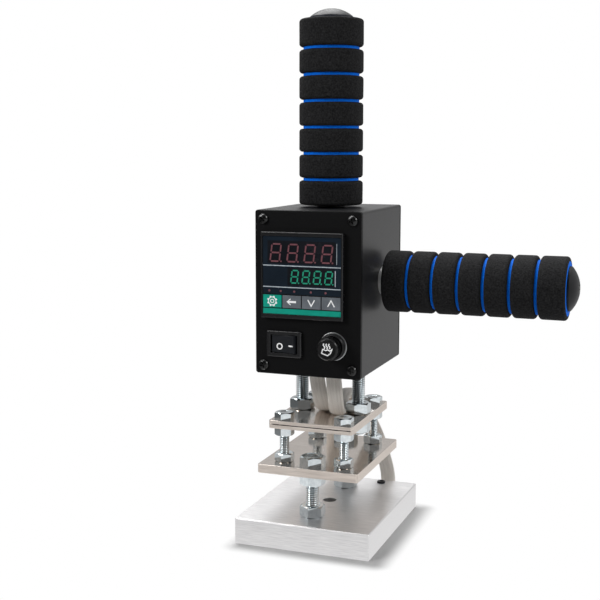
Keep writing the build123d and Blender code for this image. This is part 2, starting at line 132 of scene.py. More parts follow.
def linear(code):
    """An sRGB hex code as linear red, green, blue and alpha."""
    channels = [int(code[i:i + 2], 16) / 255 for i in (1, 3, 5)]
    light = [c / 12.92 if c <= 0.04045 else ((c + 0.055) / 1.055) ** 2.4 for c in channels]
    return (*light, 1.0)


def add(tree, kind, inputs=None, **settings):
    """Add one node to a tree, with its settings, values and links."""
    made = tree.nodes.new(kind)
    for key, value in settings.items():
        setattr(made, key, value)
    for key, value in (inputs or {}).items():
        if isinstance(value, bpy.types.NodeSocket):
            tree.links.new(value, made.inputs[key])
        else:
            made.inputs[key].default_value = value
    return made


def new_finish(name, **shader):
    """A material with a Principled shader: returns material, tree and shader."""
    material = bpy.data.materials.new(name)
    material.use_nodes = True
    tree = material.node_tree
    tree.nodes.clear()
    body = add(tree, "ShaderNodeBsdfPrincipled", {k.replace("_", " "): v for k, v in shader.items()})
    add(tree, "ShaderNodeOutputMaterial", {"Surface": body.outputs["BSDF"]})
    return material, tree, body


def grained(tree, body, grain_mm, colours, roughness, bump_mm=0.0, detail=3.0, source="Object"):
    """Let one noise, with grains of grain_mm = (x, y, z), drive colour, gloss and relief."""
    place = add(tree, "ShaderNodeTexCoord").outputs[source]
    scale = [1 / (size * MM) for size in grain_mm]
    mapped = add(tree, "ShaderNodeMapping", {"Vector": place, "Scale": scale})
    grains = add(tree, "ShaderNodeTexNoise", {
        "Vector": mapped.outputs["Vector"], "Scale": 1.0, "Detail": detail, "Roughness": 0.6,
    }).outputs["Fac"]
    factor = add(tree, "ShaderNodeMapRange", {
        "Value": grains, "From Min": 0.3, "From Max": 0.7,
    }).outputs["Result"]
    tint = add(tree, "ShaderNodeMix", {
        0: factor, 6: linear(colours[0]), 7: linear(colours[1]),
    }, data_type="RGBA").outputs[2]
    tree.links.new(tint, body.inputs["Base Color"])
    gloss = add(tree, "ShaderNodeMapRange", {
        "Value": factor, "To Min": roughness[0], "To Max": roughness[1],
    }).outputs["Result"]
    tree.links.new(gloss, body.inputs["Roughness"])
    if bump_mm:
        relief = add(tree, "ShaderNodeBump", {
            "Height": grains, "Distance": bump_mm * MM, "Strength": 1.0,
        }).outputs["Normal"]
        tree.links.new(relief, body.inputs["Normal"])
    return tint, factor


print("white is", linear("#ffffff"))

# %% [markdown]
# ## Making pieces
#
# Four small tools make nearly every new piece. `turned` spins a profile as a lathe
# does. `ease` rounds the sharp edges, because no real edge is perfectly sharp and the
# thin highlight on it tells the eye what the material is. `gathered` repeats a part at
# several places, and `piece` scales the result to metres and hangs it on its body.

# %% Mesh helpers


def turned(profile, steps=64, closed=False):
    """Spin (radius, height) points about Z into a closed skin."""
    bm = bmesh.new()
    line = [bm.verts.new((radius, 0, height)) for radius, height in profile]
    pairs = list(zip(line, line[1:])) + ([(line[-1], line[0])] if closed else [])
    edges = [bm.edges.new(pair) for pair in pairs]
    bmesh.ops.spin(bm, geom=line + edges, cent=(0, 0, 0), axis=(0, 0, 1),
                   angle=2 * math.pi, steps=steps, use_merge=True)
    bmesh.ops.remove_doubles(bm, verts=bm.verts, dist=1e-4)
    bmesh.ops.recalc_face_normals(bm, faces=bm.faces)
    return bm


def ease(bm, width, sharper_than=25, segments=2, where=None):
    """Round every edge that bends more than an angle."""
    limit = math.radians(sharper_than)
    edges = [e for e in bm.edges if len(e.link_faces) == 2 and e.calc_face_angle() > limit]
    if where:
        edges = [e for e in edges if where(e)]
    bmesh.ops.bevel(bm, geom=edges, offset=width, offset_type="OFFSET", affect="EDGES",
                    segments=segments, profile=0.5, material=-1, clamp_overlap=False)
    return bm


def placed(bm, matrix):
    """Move a whole bmesh."""
    bmesh.ops.transform(bm, matrix=matrix, verts=bm.verts)
    return bm


def gathered(parts, places=(Matrix(),)):
    """One bmesh that holds every part at every place."""
    whole = bmesh.new()
    for part in parts:
        sheet = bpy.data.meshes.new("working_copy")
        part.to_mesh(sheet)
        part.free()
        for place in places:
            copy = sheet.copy()
            copy.transform(place)
            whole.from_mesh(copy)
            bpy.data.meshes.remove(copy)
        bpy.data.meshes.remove(sheet)
    return whole


def piece(name, bm, finish, body="press", replaces=(), smooth_below=28, weighted=True):
    """Scale a bmesh to metres and make it a piece that rides on a body."""
    bmesh.ops.scale(bm, vec=(MM, MM, MM), verts=bm.verts)
    mesh = bpy.data.meshes.new(name)
    bm.to_mesh(mesh)
    bm.free()
    mesh.materials.append(finish)
    mesh.polygons.foreach_set("use_smooth", [True] * len(mesh.polygons))
    mesh.set_sharp_from_angle(angle=math.radians(smooth_below))
    made = bpy.data.objects.new(name, mesh)
    scene.collection.objects.link(made)
    if weighted:
        flatten = made.modifiers.new("flat_faces", "WEIGHTED_NORMAL")
        flatten.keep_sharp = True
    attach(made, body)
    if replaces:
        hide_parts(*replaces)
    print(name, "has", len(mesh.polygons), "faces")
    return made


def cad_copy(node):
    """A CAD part's mesh in millimetres, its loose triangles merged to flat faces."""
    bm = bmesh.new()
    bm.from_mesh(frame["nodes"][node].data)
    bmesh.ops.scale(bm, vec=(1 / MM, 1 / MM, 1 / MM), verts=bm.verts)
    bmesh.ops.remove_doubles(bm, verts=bm.verts, dist=1e-3)
    bmesh.ops.dissolve_limit(bm, angle_limit=math.radians(0.5), verts=bm.verts, edges=bm.edges)
    return bm


# %% [markdown]
# ## The two leads
#
# Two flat glass-fibre sleeves leave the box through its floor, run back over the
# plates and go down behind them into the heated block: one with the wires of the
# heater, one with those of its temperature probe. Glass fibre stands the heat where
# plastic would melt. Each sleeve follows one smooth curve through the points of its
# route. A round bevelled curve can't make a flat band, so the section is extruded
# from point to point, and its width is kept as level as the route allows.

# %% Sleeve finish
SLEEVE, tree, body = new_finish("glass_fibre_braid", Roughness=0.6, Sheen_Weight=0.15, Sheen_Roughness=0.5)
# Braided yarns: fine diagonal ridges, crossed, and long streaks where yarns lie together.
# The real yarns are 0.3 mm apart, which is too fine to show, so the ridges are 0.9 mm apart.
RIDGE_MM = 0.9
place = add(tree, "ShaderNodeTexCoord").outputs["UV"]
ridges = []
for turn in (0.5, -0.5):
    turned_place = add(tree, "ShaderNodeMapping", {
        "Vector": place, "Rotation": (0, 0, turn), "Scale": (1 / RIDGE_MM, 1 / RIDGE_MM, 1),
    })
    ridges.append(add(tree, "ShaderNodeTexWave", {
        "Vector": turned_place.outputs["Vector"], "Scale": 0.314, "Distortion": 0.6,
    }, wave_type="BANDS", bands_direction="X").outputs["Fac"])
braid = add(tree, "ShaderNodeMath", {0: ridges[0], 1: ridges[1]}, operation="MAXIMUM").outputs[0]
long_place = add(tree, "ShaderNodeMapping", {"Vector": place, "Scale": (1.1, 0.05, 1)})
streak = add(tree, "ShaderNodeTexNoise", {
    "Vector": long_place.outputs["Vector"], "Scale": 1.0, "Detail": 4.0,
}).outputs["Fac"]
tint = add(tree, "ShaderNodeMix", {
    0: streak, 6: linear("#bcb4aa"), 7: linear("#fffbf5"),
}, data_type="RGBA").outputs[2]
shade = add(tree, "ShaderNodeMapRange", {"Value": braid, "To Min": 0.8, "To Max": 1.0}).outputs["Result"]
woven = add(tree, "ShaderNodeVectorMath", {0: tint, "Scale": shade}, operation="SCALE").outputs[0]
tree.links.new(woven, body.inputs["Base Color"])
relief = add(tree, "ShaderNodeBump", {"Height": braid, "Distance": 0.25 * MM, "Strength": 0.7})
tree.links.new(relief.outputs["Normal"], body.inputs["Normal"])

# %% Sleeve routes and their curves
HEATER_ROUTE = [
    (0.0084, -0.0190, 0.0966), (0.0106, -0.0190, 0.0720), (0.0052, 0.0010, 0.0720),
    (0.0024, 0.0150, 0.0765), (0.0024, 0.0345, 0.0765), (0.0085, 0.0440, 0.0600),
    (0.0143, 0.0485, 0.0455), (0.0172, 0.0540, 0.0310), (0.0186, 0.0595, 0.0185),
    (0.0190, 0.0605, 0.0075), (0.0190, 0.0500, 0.0075),
]
PROBE_ROUTE = [
    (-0.0042, -0.0130, 0.0966), (-0.0008, -0.0130, 0.0724), (-0.0048, 0.0070, 0.0724),
    (-0.0074, 0.0210, 0.0768), (-0.0080, 0.0355, 0.0768), (-0.0130, 0.0450, 0.0600),
    (-0.0166, 0.0495, 0.0450), (-0.0182, 0.0545, 0.0310), (-0.0189, 0.0595, 0.0185),
    (-0.0190, 0.0605, 0.0075), (-0.0190, 0.0500, 0.0075),
]


def smooth_line(route):
    """The points of one NURBS curve that the route controls."""
    curve = bpy.data.curves.new("route", "CURVE")
    curve.dimensions = "3D"
    curve.resolution_u = 10
    spline = curve.splines.new("NURBS")
    spline.points.add(len(route) - 1)
    for point, place in zip(spline.points, route):
        point.co = (*place, 1)
    spline.order_u = 3
    spline.use_endpoint_u = True
    holder = bpy.data.objects.new("route", curve)
    scene.collection.objects.link(holder)
    line = bpy.data.meshes.new_from_object(holder)
    points = [vertex.co / MM for vertex in line.vertices]
    for block, owner in ((holder, bpy.data.objects), (curve, bpy.data.curves), (line, bpy.data.meshes)):
        owner.remove(block)
    return points


# %% Flat sleeves along the curves
SLEEVE_WIDE, SLEEVE_THICK = 9.4, 3.6


def sleeve(name, route, replaces):
    """Extrude a rounded flat section along the route's curve."""
    points = smooth_line(route)
    tangents = [(b - a).normalized() for a, b in zip(points, points[1:])]
    tangents = [tangents[0]] + [(a + b).normalized() for a, b in zip(tangents, tangents[1:])] + [tangents[-1]]
    frames = []
    for point, along in zip(points, tangents):
        wide = (Vector((1, 0, 0)) - along * along.x).normalized()
        frames.append(Matrix.Translation(point) @ Matrix((wide, along.cross(wide), along)).transposed().to_4x4())
    bm = bmesh.new()
    bmesh.ops.create_circle(bm, cap_ends=True, segments=28, radius=0.5)
    bmesh.ops.scale(bm, vec=(SLEEVE_WIDE, SLEEVE_THICK, 1), verts=bm.verts)
    start = list(bm.faces)[0]
    ring = [loop.vert for loop in start.loops]
    around, girth = {}, 0.0
    for number, vertex in enumerate(ring):
        around[vertex] = girth
        girth += (ring[(number + 1) % len(ring)].co - vertex.co).length
    sides = [loop.edge for loop in start.loops]
    along = {vertex: 0.0 for vertex in ring}
    bmesh.ops.transform(bm, matrix=frames[0], verts=ring)
    travelled = 0.0
    for number in range(1, len(frames)):
        travelled += (points[number] - points[number - 1]).length
        grown = bmesh.ops.extrude_edge_only(bm, edges=sides)["geom"]
        new_sides = [part for part in grown if isinstance(part, bmesh.types.BMEdge)]
        fresh = set(part for part in grown if isinstance(part, bmesh.types.BMVert))
        pairs = [(a, b) for a in ring for b in (edge.other_vert(a) for edge in a.link_edges) if b in fresh]
        for old, new in pairs:
            around[new], along[new] = around[old], travelled
        bmesh.ops.transform(bm, matrix=frames[number] @ frames[number - 1].inverted(), verts=list(fresh))
        ring = [new for old, new in pairs]
        sides = new_sides
    bmesh.ops.contextual_create(bm, geom=sides)
    bmesh.ops.recalc_face_normals(bm, faces=bm.faces)
    uv = bm.loops.layers.uv.new("sleeve")
    for face in bm.faces:
        reach = [around[loop.vert] for loop in face.loops]
        wraps = max(reach) - min(reach) > girth / 2
        for loop in face.loops:
            u = around[loop.vert]
            u = u + girth if wraps and u < girth / 2 else u
            loop[uv].uv = (u, along[loop.vert])
    made = piece(name, bm, SLEEVE, replaces=replaces, smooth_below=60)
    print(name, "measures", round(travelled, 1), "mm")
    return made


sleeve("heater_sleeve", HEATER_ROUTE, ["lead_heater"])
sleeve("probe_sleeve", PROBE_ROUTE, ["lead_probe"])

# %% [markdown]
# ## The heated block
#
# The block is milled aluminium, brushed lengthways on every face. Brushing leaves
# scratches tens of millimetres long and a fraction of a millimetre apart, so the noise
# is stretched along X. It drives the colour a little and the gloss more. The model's own
# form is right, so a copy of it only gets eased edges.

# %% Brushed aluminium block
BLOCK, tree, body = new_finish("brushed_aluminium", Metallic=1.0)
grained(tree, body, (10, 0.5, 0.5), ("#cfcecf", "#ebeaea"), (0.3, 0.42))
piece("heated_block", ease(cad_copy("base_block"), 0.12), BLOCK, replaces=["base_block"])

# %% [markdown]
# ## The plates
#
# Both plates are nickel-plated steel: the faces are nearly mirrors, in which the black
# box shows as a warm brown, and the sawn edges are paler and duller. The shader tells
# a face from an edge by the surface's own upright direction.

# %% Plated steel plates
PLATE, tree, body = new_finish("brushed_nickel_plate", Metallic=1.0)
tint, factor = grained(tree, body, (14, 0.6, 0.6), ("#cec4bc", "#ebe2da"), (0.2, 0.3))
normal = add(tree, "ShaderNodeTexCoord").outputs["Normal"]
upright = add(tree, "ShaderNodeSeparateXYZ", {"Vector": normal}).outputs["Z"]
face = add(tree, "ShaderNodeMath", {0: upright}, operation="ABSOLUTE").outputs[0]
streaky = add(tree, "ShaderNodeMapRange", {"Value": factor, "To Min": -0.03, "To Max": 0.05}).outputs["Result"]
gloss = add(tree, "ShaderNodeMapRange", {"Value": face, "To Min": 0.6, "To Max": 0.13}).outputs["Result"]
gloss = add(tree, "ShaderNodeMath", {0: gloss, 1: streaky}, operation="ADD").outputs[0]
tree.links.new(gloss, body.inputs["Roughness"])
for node, name in (
    ("lower_plate", "carrier_plate"), ("upper_plate", "cover_plate"), ("backing_tray", "tray_plate"),
):
    piece(name, ease(cad_copy(node), 0.12), PLATE, replaces=[node])

# %% Insulating sheet between the plates
SHEET, tree, body = new_finish("pressed_mica_sheet", Roughness=0.7)
grained(tree, body, (1.5, 1.5, 0.4), ("#20140c", "#4a3322"), (0.6, 0.85), bump_mm=0.03)
frame["nodes"]["insulation_sheet"].material_slots[0].material = SHEET

# %% [markdown]
# ## Bolts, studs and nuts
#
# Zinc-plated steel is bright with a cold tint. A bought nut starts as a hexagonal bar,
# and a lathe then takes its corners off at 30 degrees, which leaves a curved edge over
# each flat. The mesh is made in the same order but the other way round: the profile
# is spun first, and then the outer rings are pressed onto the six flats, each
# vertex sinking by as much as the lathe's cone would take there.

# %% Zinc-plated steel
ZINC, tree, body = new_finish("zinc_plated_steel", Metallic=1.0)
tint, factor = grained(tree, body, (2.5, 2.5, 2.5), ("#d2dade", "#e6ecee"), (0.07, 0.12))
# Painted shade: where Pointiness is low, in the thread roots and other hollows, the colour is darkened to as little
# as 0.15 of its tint, standing in for the shade that falls there.
hollows = add(tree, "ShaderNodeNewGeometry").outputs["Pointiness"]
painted_groove_shade = add(tree, "ShaderNodeMapRange", {
    "Value": hollows, "From Min": 0.44, "From Max": 0.5, "To Min": 0.15, "To Max": 1.0,
}).outputs["Result"]
shaded = add(tree, "ShaderNodeVectorMath", {0: tint, "Scale": painted_groove_shade}, operation="SCALE").outputs[0]
tree.links.new(shaded, body.inputs["Base Color"])

# %% Hexagons with turned corners
SEAT_SHARE = 0.94


def pressed_to_hexagon(bm, flats, bottom, top, low_cone=True):
    """Press the outer rings of a turned blank onto six flats that face X."""
    half, seat = flats / 2, flats / 2 * SEAT_SHARE
    for vertex in bm.verts:
        radius = math.hypot(vertex.co.x, vertex.co.y)
        if radius > seat + 0.01:
            turn = (math.atan2(vertex.co.y, vertex.co.x) + math.pi / 6) % (math.pi / 3) - math.pi / 6
            reach = half / math.cos(turn)
            sink = (reach - seat) * math.tan(math.radians(30))
            vertex.co.x *= reach / radius
            vertex.co.y *= reach / radius
            if vertex.co.z > (bottom + top) / 2:
                vertex.co.z = top - sink
            elif low_cone:
                vertex.co.z = bottom + sink
    return bm


def nut(flats, bottom, top, bore_r):
    """A nut with both ends turned and its bore countersunk."""
    seat, wide, sink = flats / 2 * SEAT_SHARE, flats * 0.57, 0.45
    blank = turned([
        (bore_r, bottom + sink), (bore_r + sink, bottom), (seat, bottom), (wide, bottom + sink),
        (wide, top - sink), (seat, top), (bore_r + sink, top), (bore_r, top - sink),
    ], steps=48, closed=True)
    return pressed_to_hexagon(blank, flats, bottom, top)


def bolt_head(flats, bottom, top):
    """A bolt head with a shallow forged dish in its top."""
    seat, wide, dish = flats / 2 * SEAT_SHARE, flats * 0.57, flats * 0.27
    blank = turned([
        (0, bottom), (wide, bottom), (wide, top - 0.5), (seat, top),
        (dish, top), (dish - 0.25, top - 0.18), (0, top - 0.18),
    ], steps=48)
    return pressed_to_hexagon(blank, flats, bottom, top, low_cone=False)


# %% [markdown]
# A thread is one long groove that climbs by its pitch at every turn. The shank starts
# as a plain closed cylinder, its upright edges are cut into many short ones, and each
# vertex then moves in by its place in the turn. The groove fades out at both ends, as
# the run-out of a real thread does.

# %% Threaded shanks
ROWS_PER_TURN = 6


def shank(radius, bottom, top, pitch):
    """A closed rod with a helical thread."""
    bm = bmesh.new()
    lift = Matrix.Translation((0, 0, (bottom + top) / 2))
    bmesh.ops.create_cone(bm, cap_ends=True, segments=28, radius1=radius, radius2=radius,
                          depth=top - bottom, matrix=lift)
    upright = [e for e in bm.edges if abs(e.verts[0].co.z - e.verts[1].co.z) > 0.5]
    rows = round((top - bottom) / pitch * ROWS_PER_TURN)
    bmesh.ops.subdivide_edges(bm, edges=upright, cuts=rows - 1, use_grid_fill=True)
    groove = 0.52 * pitch
    for vertex in bm.verts:
        around = math.atan2(vertex.co.y, vertex.co.x) / (2 * math.pi)
        phase = (vertex.co.z / pitch - around) % 1
        painted_shadow_fade = min(1, (vertex.co.z - bottom) / pitch, (top - vertex.co.z) / pitch)
        depth = groove * (1 - abs(2 * phase - 1) * painted_shadow_fade)
        share = (radius - depth) / radius
        vertex.co.x *= share
        vertex.co.y *= share
    return bm


# %% All the fasteners
M8_FLATS, M8_R, M8_PITCH = 13.0, 3.9, 1.25
M6_FLATS, M6_R, M6_PITCH = 10.0, 2.9, 1.0
MAIN_SPOTS = [Matrix.Translation((0, y, 0)) for y in (-30, 30)]
CORNER_SPOTS = [Matrix.Translation((x, y, 0)) for x in (-18, 18) for y in (-28, 28)]
RISER_SPOTS = [Matrix.Translation((x, 0, 0)) for x in (-17.5, 17.5)]

for node, name, flats, radius, pitch, spots in (
    ("main_bolts", "large_bolts", M8_FLATS, M8_R, M8_PITCH, MAIN_SPOTS),
    ("corner_bolts", "small_bolts", M6_FLATS, M6_R, M6_PITCH, CORNER_SPOTS),
):
    bottom, top = span(node, Z)
    seat = {"main_bolts": span("lower_plate", Z)[1], "corner_bolts": span("upper_plate", Z)[1]}[node]
    parts = [bolt_head(flats, seat, top), shank(radius, bottom, seat, pitch)]
    piece(name, gathered(parts, spots), ZINC, replaces=[node])

bottom, top = span("riser_studs", Z)
piece("threaded_risers", gathered([shank(M8_R, bottom, top, M8_PITCH)], RISER_SPOTS), ZINC,
      replaces=["riser_studs"])

for node, name, flats, radius, spots in (
    ("main_plate_nuts", "large_nuts_under_plate", M8_FLATS, M8_R, MAIN_SPOTS),
    ("main_base_nuts", "large_nuts_on_block", M8_FLATS, M8_R, MAIN_SPOTS),
    ("corner_clamp_nuts", "small_nuts_under_tray", M6_FLATS, M6_R, CORNER_SPOTS),
    ("corner_lower_nuts", "small_nuts_on_plate", M6_FLATS, M6_R, CORNER_SPOTS),
    ("riser_under_nuts", "riser_nuts_under_tray", M8_FLATS, M8_R, RISER_SPOTS),
    ("riser_top_nuts", "riser_nuts_on_cover", M8_FLATS, M8_R, RISER_SPOTS),
):
    made = nut(flats, *span(node, Z), radius)
    piece(name, gathered([made], spots), ZINC, replaces=[node])

# %% [markdown]
# ## The grub screw that holds the heater
#
# A small black screw with a hexagon socket sits just under the block's top face. Black
# oxide is a thin conversion layer that is oiled, so it is dark with a soft shine.

# %% Black oxide grub screw
BLACK_STEEL, tree, body = new_finish("black_oxide_steel", Metallic=0.6)
grained(tree, body, (0.6, 0.6, 0.6), ("#0b0b0c", "#1c1c1e"), (0.3, 0.45), bump_mm=0.01)
low, high = span("set_screw", Z)
high += 1.5
socket_r, socket_deep = 1.35, 1.6
grub = turned([
    (0, low), (2.3, low), (2.5, low + 0.3), (2.5, high - 0.3), (2.2, high),
    (socket_r, high), (socket_r, high - socket_deep), (0, high - socket_deep - 0.4),
], steps=36)
for vertex in grub.verts:
    radius = math.hypot(vertex.co.x, vertex.co.y)
    if abs(radius - socket_r) < 0.01:
        turn = math.atan2(vertex.co.y, vertex.co.x) % (math.pi / 3) - math.pi / 6
        vertex.co.x *= math.cos(math.pi / 6) / math.cos(turn)
        vertex.co.y *= math.cos(math.pi / 6) / math.cos(turn)
piece("grub_screw", placed(grub, Matrix.Translation((19, 43.5, 0))), BLACK_STEEL,
      replaces=["set_screw"])

# %% [markdown]
# ## The box
#
# The box is black anodised aluminium sheet: matte, with a very fine grain. Seen
# straight on it is almost black, and seen along its side it catches the studio's light
# and turns grey. That comes from the shader's own reflection at a low angle, so the
# colour is the same all over. The panels are copies of the model's with eased edges.

# %% Black case
TUBE, tree, body = new_finish("black_anodised_aluminium", Specular_IOR_Level=0.42)
grained(tree, body, (0.35, 0.35, 0.35), ("#0b0b0d", "#121215"), (0.38, 0.46), bump_mm=0.01)
PANEL, tree, body = new_finish("matte_black_powder_coat", Specular_IOR_Level=0.12)
grained(tree, body, (0.35, 0.35, 0.35), ("#070708", "#0e0e0f"), (0.42, 0.52), bump_mm=0.01)
for node, name, width, finish in (
    ("housing_shell", "box_tube", 0.2, TUBE), ("front_panel", "control_panel", 0.45, PANEL),
    ("rear_panel", "back_panel", 0.45, PANEL),
):
    piece(name, ease(cad_copy(node), width), finish, replaces=[node])

# %% [markdown]
# ## Panel screws
#
# Each panel is held by four black pan-head screws with a cross recess. The head is
# turned, and the cross is cut out with a Boolean modifier, which is applied before the
# screw is repeated. No two screws stop at the same angle, so each is turned one by one.

# %% One screw, cut and repeated


def cut(bm, tool):
    """Cut one closed bmesh out of another."""
    holders = []
    for number, part in enumerate((bm, tool)):
        mesh = bpy.data.meshes.new(f"cutting_{number}")
        part.to_mesh(mesh)
        part.free()
        holder = bpy.data.objects.new(f"cutting_{number}", mesh)
        scene.collection.objects.link(holder)
        holders.append(holder)
    difference = holders[0].modifiers.new("difference", "BOOLEAN")
    difference.operation = "DIFFERENCE"
    difference.solver = "EXACT"
    difference.object = holders[1]
    bpy.context.view_layer.update()
    result = bpy.data.meshes.new_from_object(holders[0].evaluated_get(bpy.context.evaluated_depsgraph_get()))
    whole = bmesh.new()
    whole.from_mesh(result)
    bpy.data.meshes.remove(result)
    for holder in holders:
        mesh = holder.data
        bpy.data.objects.remove(holder)
        bpy.data.meshes.remove(mesh)
    return whole


def cross_screw(radius, tall):
    """A pan head on Z = 0 with a cross recess."""
    head = turned([
        (0, -0.3), (radius, -0.3), (radius, 0.3), (radius * 0.96, tall * 0.5), (radius * 0.8, tall * 0.8),
        (radius * 0.5, tall * 0.96), (0, tall),
    ], steps=40)
    arms = bmesh.new()
    long, short = radius * 0.58, radius * 0.13
    corners = [(long, short), (short, short), (short, long)]
    outline = []
    for quarter in range(4):
        turn = Matrix.Rotation(quarter * math.pi / 2, 2)
        outline += [turn @ Vector(corner) for corner in corners]
    face = arms.faces.new([arms.verts.new((x, y, tall * 0.3)) for x, y in outline])
    top = [part for part in bmesh.ops.extrude_face_region(arms, geom=[face])["geom"]
           if isinstance(part, bmesh.types.BMVert)]
    bmesh.ops.translate(arms, vec=(0, 0, tall), verts=top)
    bmesh.ops.recalc_face_normals(arms, faces=arms.faces)
    return cut(head, arms)


SCREW_FINISH, tree, body = new_finish("black_zinc_screw", Specular_IOR_Level=0.5)
grained(tree, body, (1.0, 1.0, 1.0), ("#040405", "#09090a"), (0.2, 0.26))
SCREW_R, SCREW_TALL = 3.0, 1.8
SCREW_X, SCREW_LEVELS = 26.0, (103.1, 185.1)
for name, face_y, side in (("panel_screws", span("front_panel", Y)[0], 1), ("back_screws", span("rear_panel", Y)[1], -1)):
    places = []
    for number, (x, z) in enumerate((x, z) for x in (-SCREW_X, SCREW_X) for z in SCREW_LEVELS):
        stand = Matrix.Translation((x, face_y, z)) @ Matrix.Rotation(side * math.pi / 2, 4, "X")
        places.append(stand @ Matrix.Rotation(0.35 + 0.5 * number, 4, "Z"))
    piece(name, gathered([cross_screw(SCREW_R, SCREW_TALL)], places), SCREW_FINISH)

# %% [markdown]
# ## The temperature controller
#
# A standard 48 mm panel controller: a black ABS bezel around a dark polycarbonate
# window, four soft keys and a green strip. The bezel is a copy of the model's with its
# edges rounded, because a moulded frame has a soft highlight along its rim.

# %% Moulded black plastic
ABS, tree, body = new_finish("moulded_black_abs", Specular_IOR_Level=0.25)
grained(tree, body, (0.3, 0.3, 0.3), ("#0a0a0b", "#121214"), (0.3, 0.4), bump_mm=0.006)
BEZEL, tree, body = new_finish("polished_black_abs", Specular_IOR_Level=0.5)
grained(tree, body, (2.0, 2.0, 2.0), ("#121214", "#171719"), (0.22, 0.28))
piece("controller_frame", ease(cad_copy("controller_bezel"), 0.3), BEZEL,
      replaces=["controller_bezel"])
for node in ("controller_case", "controller_clamp", "cable_grommet", "power_relay", "button_nut"):
    frame["nodes"][node].material_slots[0].material = ABS

# %% Window, keys and strip
LENS, tree, body = new_finish("tinted_polycarbonate", Specular_IOR_Level=0.15)
grained(tree, body, (30, 30, 30), ("#151d26", "#1c2732"), (0.2, 0.26))
piece("display_window", ease(cad_copy("controller_window"), 0.08), LENS,
      replaces=["controller_window"])

GREEN, tree, body = new_finish("green_polyester_film", Specular_IOR_Level=0.2)
grained(tree, body, (8, 4, 4), ("#00907c", "#04a08a"), (0.4, 0.5))
piece("green_strip", ease(cad_copy("controller_stripe"), 0.08), GREEN,
      replaces=["controller_stripe"])

GREY, tree, body = new_finish("grey_silicone_key", Specular_IOR_Level=0.25)
grained(tree, body, (9, 9, 9), ("#5a5f65", "#70767c"), (0.45, 0.6))
KEY_BODIES = (("key_menu", "menu_key"), ("key_shift", "shift_key"), ("key_down", "down_key"), ("key_up", "up_key"))
for node, key_body in KEY_BODIES:
    finish, slot = (GREEN, "label_green") if node == "key_menu" else (GREY, "key_grey")
    piece(f"{key_body}_cap", ease(cad_copy(node), 0.12), finish, body=key_body, replaces=[node])

# %% [markdown]
# ## Printed marks and digits
#
# Every mark is a thin solid plate that stands a few hundredths of a millimetre proud
# of its surface, as screen printing does. `bar` makes a straight stroke between two
# points of the panel, and `hoop` a ring. A digit is seven bars with pointed ends,
# leaned to the right as on every such display, with a round point beside it.

# %% Strokes and hoops
PRINT_MM = 0.06


def bar(start, end, width, face_y, pointed=False):
    """A stroke from start to end, both (x, z), on the surface at face_y."""
    run = Vector(end) - Vector(start)
    bm = bmesh.new()
    bmesh.ops.create_cube(bm, size=1.0)
    bmesh.ops.scale(bm, vec=(run.length, 2 * PRINT_MM, width), verts=bm.verts)
    if pointed:
        ends = [e for e in bm.edges if abs(e.verts[0].co.y - e.verts[1].co.y) > PRINT_MM]
        bmesh.ops.bevel(bm, geom=ends, offset=width * 0.42, offset_type="OFFSET", affect="EDGES",
                        segments=1, profile=0.5, material=-1)
    turn = Matrix.Rotation(-math.atan2(run.y, run.x), 4, "Y")
    middle = (Vector(start) + Vector(end)) / 2
    return placed(bm, Matrix.Translation((middle.x, face_y, middle.y)) @ turn)


def hoop(centre, outer, inner, face_y, steps=32):
    """A flat ring, or a disc where inner is 0."""
    outline = [(inner, -PRINT_MM), (outer, -PRINT_MM), (outer, PRINT_MM), (inner, PRINT_MM)]
    flat = turned(outline, steps=steps, closed=inner > 0)
    stand = Matrix.Translation((centre[0], face_y, centre[1])) @ Matrix.Rotation(math.pi / 2, 4, "X")
    return placed(flat, stand)


def stroke(points, width, face_y):
    """A line of even width through the points, mitred where it turns."""
    spots = [Vector(point) for point in points]
    runs = [(b - a).normalized() for a, b in zip(spots, spots[1:])]
    closed = spots[0] == spots[-1]
    bm, last = bmesh.new(), None
    for number, spot in enumerate(spots):
        before = runs[number - 1] if number or closed else runs[0]
        after = runs[number % len(runs)] if number < len(runs) or closed else runs[-1]
        along = (before + after).normalized()
        across = Vector((-along.y, along.x)) * (width / 2 / along.dot(before))
        pair = [bm.verts.new((p.x, face_y + PRINT_MM, p.y)) for p in (spot + across, spot - across)]
        if last:
            bm.faces.new((*last, *reversed(pair)))
        last = pair
    bmesh.ops.remove_doubles(bm, verts=bm.verts, dist=1e-4)
    front = bmesh.ops.extrude_face_region(bm, geom=list(bm.faces))["geom"]
    bmesh.ops.translate(bm, vec=(0, -2 * PRINT_MM, 0), verts=[v for v in front if isinstance(v, bmesh.types.BMVert)])
    bmesh.ops.recalc_face_normals(bm, faces=bm.faces)
    return [bm]


# %% Print colours
PRINT_WHITE, tree, body = new_finish("white_screen_print")
grained(tree, body, (0.5, 0.5, 0.5), ("#f2f3f4", "#ffffff"), (0.5, 0.65))
PALE_LINE, tree, body = new_finish("pale_silk_screen_line")
grained(tree, body, (3.0, 1.0, 1.0), ("#9fabb4", "#c3ccd3"), (0.4, 0.5))
DIM_RED, tree, body = new_finish("dim_red_led_segment")
grained(tree, body, (1.2, 1.2, 1.2), ("#6a3a42", "#7d4a52"), (0.35, 0.45))
LED_GREEN, tree, body = new_finish("green_led_segment")
grained(tree, body, (1.2, 1.2, 1.2), ("#0d8f70", "#14a583"), (0.35, 0.45))
SMOKED, tree, body = new_finish("smoked_display_glass", Specular_IOR_Level=0.2)
grained(tree, body, (12, 12, 12), ("#111318", "#17191f"), (0.2, 0.28))

# %% The display
GLASS_Y = span("controller_window", Y)[0]
MARK_Y = GLASS_Y - PRINT_MM * 0.7
LEAN = 0.13


